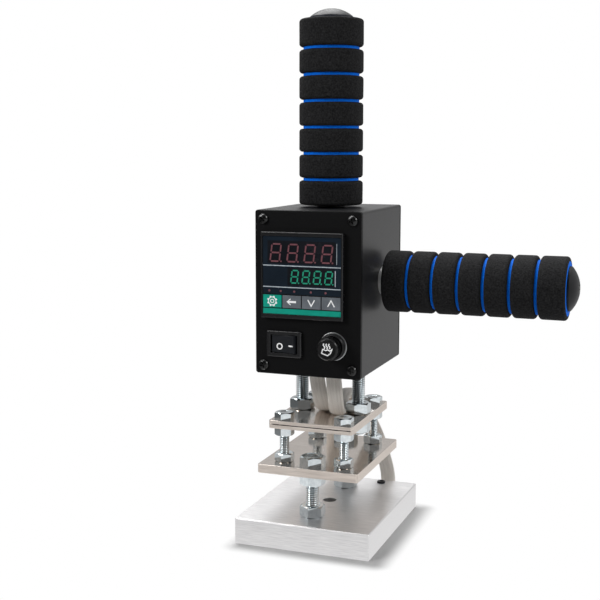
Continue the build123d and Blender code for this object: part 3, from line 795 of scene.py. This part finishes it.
def digit(left, bottom, wide, tall, width):
    """One leaning figure eight with its point."""
    middle = bottom + tall / 2
    gap = width * 0.42
    parts = []
    for level in (bottom, middle, bottom + tall):
        parts.append(bar((left + gap, level), (left + wide - gap, level), width, MARK_Y, pointed=True))
    for x in (left, left + wide):
        for low in (bottom, middle):
            parts.append(bar((x, low + gap), (x, low + tall / 2 - gap), width, MARK_Y, pointed=True))
    parts.append(hoop((left + wide + width * 1.25, bottom), width * 0.55, 0, MARK_Y, steps=16))
    lean = Matrix.Translation((0, 0, bottom)) @ Matrix.Shear("XY", 4, (0, 0)) @ Matrix.Translation((0, 0, -bottom))
    lean[0][2], lean[0][3] = LEAN, -LEAN * bottom
    return [placed(part, lean) for part in parts]


upper, lower = [], []
for number in range(4):
    upper += digit(-20.9 + 10.0 * number, 162.2, 5.4, 9.5, 0.85)
    lower += digit(-8.7 + 6.6 * number, 150.5, 3.7, 6.9, 0.75)
piece("measured_value_digits", gathered(upper), DIM_RED)
piece("set_value_digits", gathered(lower), LED_GREEN)

glass_low, glass_high = span("controller_window", X)
lines = [bar((glass_low + 0.1, z), (glass_high - 0.1, z), 0.5, MARK_Y) for z in (159.8, 147.9)]
lines += [bar((18.0, 161.4), (18.0, 172.8), 0.25, MARK_Y), bar((17.2, 149.4), (17.2, 158.0), 0.45, MARK_Y)]
piece("display_lines", gathered(lines), PALE_LINE)

smoked = []
for low_x, high_x, low_z, high_z in ((-22.4, 17.4, 161.0, 173.6), (-10.6, 16.6, 149.0, 159.0)):
    middle = (low_z + high_z) / 2
    smoked.append(bar((low_x, middle), (high_x, middle), high_z - low_z, GLASS_Y + PRINT_MM * 0.3))
piece("digit_backgrounds", gathered(smoked), SMOKED)

lamps = [hoop((x, 145.7), 0.62, 0, MARK_Y, steps=20) for x in (-21.4, -14.6, -6.6, 3.1, 11.7)]
piece("indicator_dots", gathered(lamps), DIM_RED)

# %% Key symbols


def key_centre(node):
    """Middle (x, z) of a key."""
    return sum(span(node, X)) / 2, sum(span(node, Z)) / 2


KEY_Y = span("key_up", Y)[0]
x, z = key_centre("key_menu")
gear = [hoop((x, z), 2.5, 2.0, KEY_Y), hoop((x, z), 1.2, 0.75, KEY_Y)]
for tooth in range(8):
    turn = math.radians(45 * tooth + 22.5)
    aim = Vector((math.cos(turn), math.sin(turn)))
    gear.append(bar(Vector((x, z)) + aim * 2.3, Vector((x, z)) + aim * 3.05, 0.85, KEY_Y + 0.01))
piece("menu_symbol", gathered(gear), PRINT_WHITE, body="menu_key")

x, z = key_centre("key_shift")
arrow = stroke([(x - 0.6, z + 1.7), (x - 2.6, z), (x - 0.6, z - 1.7)], 0.5, KEY_Y)
arrow += [bar((x - 2.2, z), (x + 2.6, z), 1.15, KEY_Y + 0.01)]
piece("shift_symbol", gathered(arrow), PRINT_WHITE, body="shift_key")

for node, key_body, up in (("key_down", "down_key", -1), ("key_up", "up_key", 1)):
    x, z = key_centre(node)
    chevron = stroke([(x - 1.95, z - 1.6 * up), (x, z + 1.8 * up), (x + 1.95, z - 1.6 * up)], 0.65, KEY_Y)
    piece(f"{key_body}_symbol", gathered(chevron), PRINT_WHITE, body=key_body)

# %% [markdown]
# ## The rocker switch
#
# The key of a rocker is hollow in the middle, so that a finger finds both ends. Its O
# and its dash are printed on that curved face. Flat marks would dip into it, so a ray
# from the front finds the face under every vertex and sets the mark onto it.

# %% Rocker and its marks
piece("rocker_bezel", ease(cad_copy("rocker_frame"), 0.3), BEZEL, replaces=["rocker_frame"])
GLOSS, tree, body = new_finish("glossy_black_plastic", Specular_IOR_Level=0.35)
grained(tree, body, (2.0, 2.0, 2.0), ("#060607", "#0c0c0d"), (0.22, 0.3))
KEY_SATIN, tree, body = new_finish("satin_black_nylon", Specular_IOR_Level=0.3)
grained(tree, body, (0.4, 0.4, 0.4), ("#111318", "#181b21"), (0.38, 0.5), bump_mm=0.006)
rocker = ease(cad_copy("rocker_key"), 0.2, sharper_than=35)
rocker_face = BVHTree.FromBMesh(rocker)
piece("rocker_cap", rocker, KEY_SATIN, body="rocker", replaces=["rocker_key"])


def laid_on(bm, surface):
    """Set a flat mark, drawn about y = 0, onto a surface that faces -Y."""
    for vertex in bm.verts:
        hit = surface.ray_cast(Vector((vertex.co.x, -80, vertex.co.z)), Vector((0, 1, 0)))[0]
        vertex.co.y += hit.y
    return bm


rocker_x, rocker_z = (sum(span("rocker_key", axis)) / 2 for axis in (X, Z))
dash_z = rocker_z - 0.7
marks = [hoop((rocker_x - 2.7, rocker_z - 1.4), 1.9, 1.2, 0)]
marks += stroke([(rocker_x + 3.1 + 0.35 * step, dash_z) for step in range(9)], 0.75, 0)
piece("rocker_marks", laid_on(gathered(marks), rocker_face), PRINT_WHITE, body="rocker")

# %% [markdown]
# ## The push button
#
# The heat button stands well out of the panel: a bright ring, a black collar and a
# deep black cap with a white symbol of heat rising from a curved pad. All three are
# turned parts, so they are spun from short profiles and their rims are rounded.

# %% Ring, collar and cap
CHROME, tree, body = new_finish("bright_nickel_ring", Metallic=1.0)
grained(tree, body, (2.0, 2.0, 2.0), ("#dfe2e4", "#f0f1f2"), (0.28, 0.34))
FACE_FRONT = Matrix.Rotation(math.pi / 2, 4, "X")
button_x, button_z = (sum(span("button_cap", axis)) / 2 for axis in (X, Z))
panel_y = span("front_panel", Y)[0]
button_stand = Matrix.Translation((button_x, panel_y, button_z)) @ FACE_FRONT
ring_high = panel_y - span("button_ring", Y)[0]
collar_high = panel_y - span("button_collar", Y)[0]
cap_high = panel_y - span("button_cap", Y)[0]
COLLAR_R, CAP_R, RING_R, BARREL_R = 7.5, 6.2, 7.9, 5.9
ring = ease(turned([(BARREL_R + 0.1, 0), (RING_R, 0), (RING_R, ring_high), (BARREL_R + 0.1, ring_high)],
                   closed=True), 0.15)
piece("button_ring_bright", placed(ring, button_stand), CHROME, replaces=["button_ring"])
back = panel_y - span("button_collar", Y)[1]
collar = ease(turned([
    (0, back), (BARREL_R, back), (BARREL_R, ring_high), (COLLAR_R, ring_high), (COLLAR_R, collar_high - 0.8),
    (COLLAR_R - 0.8, collar_high), (CAP_R + 0.15, collar_high), (CAP_R + 0.15, collar_high - 2.2),
    (3.15, collar_high - 2.2), (3.15, back + 1.4), (0, back + 1.4),
]), 0.2)
piece("button_bezel", placed(collar, button_stand), ABS, replaces=["button_collar"])
cap_back = panel_y - span("button_cap", Y)[1]
cap = turned([
    (0, cap_back), (3.0, cap_back), (3.0, 5.0), (CAP_R, 5.0), (CAP_R, cap_high - 0.8),
    (CAP_R - 0.8, cap_high), (CAP_R - 1.5, cap_high), (CAP_R - 1.9, cap_high - 0.12), (0, cap_high - 0.12),
])
piece("heat_button_cap", placed(ease(cap, 0.22, sharper_than=30), button_stand), GLOSS,
      body="button", replaces=["button_cap"])

# %% Heat symbol
ICON_Y = -(cap_high - 0.12) + panel_y


def wave(x, low, high):
    """A heat line that swings twice on its way up."""
    points = []
    for step in range(9):
        rise = step / 8
        points.append((x + 0.45 * math.sin(2 * math.pi * rise), low + (high - low) * rise))
    return stroke(points, 0.62, ICON_Y)


icon = []
for shift in (-1.35, 0.15, 1.65):
    icon += wave(button_x + shift - 0.2, button_z + 0.5, button_z + 3.3)
pad = [(-3.0, -2.0), (-2.3, 0.2), (-0.6, -0.4), (0.6, 0.1), (1.6, -0.6), (2.9, 0.3), (2.1, -1.9), (0.4, -3.2), (-3.0, -2.0)]
icon += stroke([(button_x + x, button_z + z) for x, z in pad], 0.55, ICON_Y)
piece("heat_symbol", gathered(icon), PRINT_WHITE, body="button")

# %% [markdown]
# ## The grips
#
# Each grip is a bar in a blue foam tube with seven black foam rings on it. The blue
# shows only in the narrow grooves. Closed-cell foam is matte with fine pores, and cut
# rings are softly rounded at both ends. Their sides are never quite true, so a faint
# noise moves the vertices, far less than the eye measures but enough to look soft.

# %% Foam finishes
FOAM, tree, body = new_finish("black_foam_rubber", Specular_IOR_Level=0.12)
grained(tree, body, (0.9, 0.9, 0.9), ("#020203", "#2c2c2d"), (0.8, 0.95), bump_mm=0.5, detail=5.0)
BLUE, tree, body = new_finish("blue_foam_rubber", Specular_IOR_Level=0.06)
grained(tree, body, (0.8, 0.8, 0.8), ("#0062d4", "#0076f6"), (0.55, 0.7), bump_mm=0.05)

NICKEL, tree, body = new_finish("satin_nickel_collar", Metallic=0.4)
grained(tree, body, (0.5, 0.5, 0.5), ("#d8d8d6", "#ededeb"), (0.4, 0.5))
CAP_SATIN, tree, body = new_finish("satin_black_cap", Specular_IOR_Level=0.22)
grained(tree, body, (3.0, 3.0, 3.0), ("#0c0d10", "#121317"), (0.42, 0.48))

# %% Foam rings and caps
FOAM_WALL, GROOVE, SLOPE, RINGS = 2.4, 1.5, 0.9, 7
FIRST_EXTRA, LAST_EXTRA = 0.8, 2.4
BAR_R, CAP_OUTER_R = 11.0, 12.2


def foam_ring(outer_r, tall, seed):
    """One soft ring that stands on Z = 0."""
    inner_r = outer_r - FOAM_WALL + 0.05
    ring = turned([(inner_r, 0), (outer_r, SLOPE * 0.4), (outer_r, tall / 3), (outer_r, tall * 2 / 3),
                   (outer_r, tall - SLOPE * 0.4), (inner_r, tall)], steps=96, closed=True)
    ease(ring, 1.5, sharper_than=40, segments=5,
         where=lambda e: math.hypot(*e.verts[0].co.xy) > outer_r - 0.1)
    for vertex in ring.verts:
        radius = math.hypot(vertex.co.x, vertex.co.y)
        if radius > inner_r + 0.5:
            sway = noise.noise(Vector((vertex.co.x / 9, vertex.co.y / 9, vertex.co.z / 7 + seed * 3.1)))
            share = 1 - 0.006 * (0.5 + 0.5 * sway)
            vertex.co.x *= share
            vertex.co.y *= share
    return ring


def grip(name, stand, seed):
    """Rings, core, end cap and collar of one grip, drawn upwards from the box."""
    axis = Z if name == "top" else X
    start, end = span(f"{name}_grip_core", axis)
    wall = span("housing_shell", axis)[1]
    low, high, top = start - wall, end - wall, span(f"{name}_grip_cap", axis)[1] - wall
    across = span(f"{name}_grip_rings", Y)
    outer_r = (across[1] - across[0]) / 2
    core_r = outer_r - FOAM_WALL
    plain = (high - low - (RINGS - 1) * GROOVE - FIRST_EXTRA - LAST_EXTRA) / RINGS
    heights = [plain + FIRST_EXTRA] + [plain] * (RINGS - 2) + [plain + LAST_EXTRA]
    rings, foot = [], low
    for number, tall in enumerate(heights):
        rings.append(placed(foam_ring(outer_r, tall, seed + number), Matrix.Translation((0, 0, foot))))
        foot += tall + GROOVE
    soft = piece(f"{name}_foam_rings", gathered(rings, [stand]), FOAM,
                 replaces=[f"{name}_grip_rings"], smooth_below=50)
    core = turned([(BAR_R + 0.05, low), (core_r, low), (core_r, high), (BAR_R + 0.05, high)], steps=96, closed=True)
    tube = piece(f"{name}_foam_tube", placed(ease(core, 0.4), stand), BLUE,
                 replaces=[f"{name}_grip_core"])
    rise = top - high
    dome_rise = rise - 1.2
    dome_r = (CAP_OUTER_R ** 2 + dome_rise ** 2) / (2 * dome_rise)
    profile = [(0, high), (CAP_OUTER_R, high), (CAP_OUTER_R, high + 1.2)]
    for share in (0.93, 0.85, 0.75, 0.65, 0.55, 0.45, 0.35, 0.27):
        radius = CAP_OUTER_R * share
        profile.append((radius, top - dome_r + math.sqrt(dome_r ** 2 - radius ** 2)))
    profile += [(2.7, top - 0.6), (2.5, top - 1.2), (0, top - 1.2)]
    cap = ease(turned(profile, steps=72), 0.2)
    piece(f"{name}_end_cap", placed(cap, stand), CAP_SATIN, replaces=[f"{name}_grip_cap"])
    screw = gathered([cross_screw(2.2, 1.1)], [stand @ Matrix.Translation((0, 0, top - 1.2))])
    piece(f"{name}_cap_screw", screw, SCREW_FINISH)
    collar = ease(turned([(0, 0), (8.0, 0), (8.0, low), (0, low)]), 0.25)
    stud = shank(2.9, span(f"{name}_grip_spigot", axis)[0] - wall, 0, 1.0)
    piece(f"{name}_collar", gathered([collar, stud], [stand]), BLACK_STEEL if name == "top" else NICKEL,
          replaces=[f"{name}_grip_spigot"])


box_top = span("housing_shell", Z)[1]
box_right = span("housing_shell", X)[1]
side_level = sum(span("side_grip_core", Z)) / 2
grip("top", Matrix.Translation((0, 0, box_top)), 1)
grip("side", Matrix.Translation((box_right, 0, side_level)) @ Matrix.Rotation(math.pi / 2, 4, "Y"), 20)
for node in ("top_grip_bar", "side_grip_bar"):
    frame["nodes"][node].material_slots[0].material = BLOCK

# %% [markdown]
# ## The back and the inside
#
# The supply cord would leave through a nylon gland in the back panel. The cord itself
# is not shown here, so the gland stays empty. What is inside the box is only seen
# through the gaps, and keeps the model's form with a fitting finish.

# %% Gland and hidden fittings
piece("cord_gland", ease(cad_copy("power_gland"), 0.3), ABS, replaces=["power_gland"])
for node in ("heater_cartridge", "heat_probe", "mount_plate", "grip_nuts", "rocker_terminals"):
    frame["nodes"][node].material_slots[0].material = ZINC

# %% [markdown]
# ## Studio
#
# The object stands on a white table in a white room. Objects this dark need a room
# that is not white on every side: what faces the viewer is darker, so that the black
# panel stays black, while both sides and the top are bright and draw the edges. The
# camera sees the room as pure white, and the table too, except close to the block.
# There it sees the table lit by the lamps, with the block's real shadow, but the table
# is grey there and its white glow fades in along an outline shifted to the right and
# the front: painted shadow. Polished surfaces see the room a little paler towards the
# back, and see the table as a painted glow: bright near the block and to its right,
# and dark under the block's hole as painted shade.

# %% Floor
FLOOR, tree, body = new_finish("white_table", Roughness=0.9, Specular_IOR_Level=0.1)
# Painted shade: the table's colour is grey, not white, so the shadow close to the block is deeper than the lamps
# alone make it.
body.inputs["Base Color"].default_value = linear("#a6a6a6")
place = add(tree, "ShaderNodeTexCoord").outputs["Object"]
away = add(tree, "ShaderNodeVectorMath", {0: place}, operation="LENGTH").outputs["Value"]
# Painted shadow: the outline, outside which the white glow fades in over 11.5 mm, is the block's footprint shifted 4
# mm to the right and 3 mm to the front, so the shadow leans that way whatever the lamps do.
shifted = add(tree, "ShaderNodeVectorMath", {0: place, 1: (0.004, -0.003, 0)}, operation="SUBTRACT").outputs[0]
mirrored = add(tree, "ShaderNodeVectorMath", {0: shifted}, operation="ABSOLUTE").outputs[0]
beyond = add(tree, "ShaderNodeVectorMath", {0: mirrored, 1: (0.04, 0.05, 0)}, operation="SUBTRACT").outputs[0]
beyond = add(tree, "ShaderNodeVectorMath", {0: beyond, 1: (0, 0, 0)}, operation="MAXIMUM").outputs[0]
from_block = add(tree, "ShaderNodeVectorMath", {0: beyond}, operation="LENGTH").outputs["Value"]
painted_shadow_fade = add(tree, "ShaderNodeMapRange", {
    "Value": from_block, "From Min": 0.0, "From Max": 0.0115,
}, interpolation_type="SMOOTHSTEP").outputs["Result"]
rays = add(tree, "ShaderNodeLightPath")
share = add(tree, "ShaderNodeMath", {
    0: rays.outputs["Is Camera Ray"], 1: painted_shadow_fade,
}, operation="MULTIPLY").outputs[0]
glow = add(tree, "ShaderNodeEmission", {"Color": (1, 1, 1, 1), "Strength": 1.0}).outputs["Emission"]
blend = add(tree, "ShaderNodeMixShader", {0: share, 1: body.outputs["BSDF"], 2: glow}).outputs["Shader"]
polished = add(tree, "ShaderNodeMath", {
    0: rays.outputs["Is Glossy Ray"], 1: rays.outputs["Is Transmission Ray"],
}, operation="MAXIMUM").outputs[0]
# Painted reflection: polished surfaces see the table as a glow, not as the lamps light it: bright near the block and
# towards its right, dimmer farther away.
sideways = add(tree, "ShaderNodeVectorMath", {0: place, 1: (1, -0.15, 0)}, operation="DOT_PRODUCT").outputs["Value"]
right = add(tree, "ShaderNodeMapRange", {
    "Value": sideways, "From Min": -0.25, "From Max": 0.2, "To Min": 0.12, "To Max": 0.9,
}).outputs["Result"]
near = add(tree, "ShaderNodeMapRange", {
    "Value": away, "From Min": 0.08, "From Max": 0.35, "To Min": 0.95, "To Max": 0.0,
}, interpolation_type="SMOOTHSTEP").outputs["Result"]
mirrored = add(tree, "ShaderNodeMath", {0: near, 1: right}, operation="MAXIMUM").outputs[0]
# Painted shade: under the block's hole, within 12 mm of its axis, the glow goes dark, and it fades back in by 30 mm.
painted_shade_under_block = add(tree, "ShaderNodeMapRange", {
    "Value": away, "From Min": 0.012, "From Max": 0.03,
}).outputs["Result"]
mirrored = add(tree, "ShaderNodeMath", {0: mirrored, 1: painted_shade_under_block}, operation="MULTIPLY").outputs[0]
painted_reflection_glow = add(tree, "ShaderNodeEmission", {"Color": (1, 1, 1, 1), "Strength": mirrored}).outputs["Emission"]
blend = add(tree, "ShaderNodeMixShader", {0: polished, 1: blend, 2: painted_reflection_glow}).outputs["Shader"]
output = next(n for n in tree.nodes if n.type == "OUTPUT_MATERIAL")
tree.links.new(blend, output.inputs["Surface"])
bm = bmesh.new()
bmesh.ops.create_grid(bm, x_segments=4, y_segments=4, size=4.0)
bmesh.ops.translate(bm, vec=(0, 0, -0.00005), verts=bm.verts)
floor_mesh = bpy.data.meshes.new("table")
bm.to_mesh(floor_mesh)
bm.free()
floor_mesh.materials.append(FLOOR)
table = bpy.data.objects.new("table", floor_mesh)
scene.collection.objects.link(table)

# %% World and lamps
world = bpy.data.worlds.new("studio")
scene.world = world
world.use_nodes = True
tree = world.node_tree
tree.nodes.clear()
aim = add(tree, "ShaderNodeTexCoord").outputs["Generated"]
parts = add(tree, "ShaderNodeSeparateXYZ", {"Vector": aim}).outputs
depth = add(tree, "ShaderNodeMapRange", {
    "Value": parts["Y"], "From Min": -0.9, "From Max": 0.3, "To Min": 0.06, "To Max": 1.0,
}).outputs["Result"]
height = add(tree, "ShaderNodeMapRange", {
    "Value": parts["Z"], "From Min": 0.12, "From Max": 0.5, "To Min": 0.1, "To Max": 1.0,
}).outputs["Result"]
right = add(tree, "ShaderNodeMapRange", {
    "Value": parts["X"], "From Min": 0.0, "From Max": 0.5, "To Min": 0.0, "To Max": 0.8,
}).outputs["Result"]
wall = add(tree, "ShaderNodeMath", {0: height, 1: right}, operation="MAXIMUM").outputs[0]
room = add(tree, "ShaderNodeMath", {0: depth, 1: wall}, operation="MULTIPLY").outputs[0]
rays = add(tree, "ShaderNodeLightPath")
polished = add(tree, "ShaderNodeMath", {
    0: rays.outputs["Is Glossy Ray"], 1: rays.outputs["Is Transmission Ray"],
}, operation="MAXIMUM").outputs[0]
behind = add(tree, "ShaderNodeMath", {0: polished, 1: depth}, operation="MULTIPLY").outputs[0]
behind = add(tree, "ShaderNodeMath", {0: behind, 1: 0.15}, operation="MULTIPLY").outputs[0]
seen = add(tree, "ShaderNodeMath", {0: rays.outputs["Is Camera Ray"], 1: behind}, operation="MAXIMUM").outputs[0]
level = add(tree, "ShaderNodeMix", {0: seen, 2: room, 3: 1.0}, data_type="FLOAT").outputs[0]
sky = add(tree, "ShaderNodeBackground", {"Color": (1, 1, 1, 1), "Strength": level})
add(tree, "ShaderNodeOutputWorld", {"Surface": sky.outputs["Background"]})


def softbox(name, place, target, size, watts):
    """A square soft light that looks at a point."""
    lamp = bpy.data.lights.new(name, "AREA")
    lamp.size = size
    lamp.energy = watts
    holder = bpy.data.objects.new(name, lamp)
    holder.location = place
    holder.rotation_euler = (Vector(target) - Vector(place)).to_track_quat("-Z", "Y").to_euler()
    scene.collection.objects.link(holder)


softbox("key_light", (-0.3, 0.4, 1.2), (0, 0, 0.12), 0.9, 17)
softbox("right_light", (1.0, -0.3, 0.8), (0, 0, 0.12), 0.4, 4)
softbox("left_light", (-0.75, -0.85, 0.75), (0, 0, 0.12), 0.5, 9)

# %% [markdown]
# ## Finish
#
# Each of the model's parts is listed with the finish in each of its material slots.

# %% Finish
for node in frame["nodes"].values():
    slots = [slot.material.name if slot.material else None for slot in node.material_slots]
    print(node.name, slots)
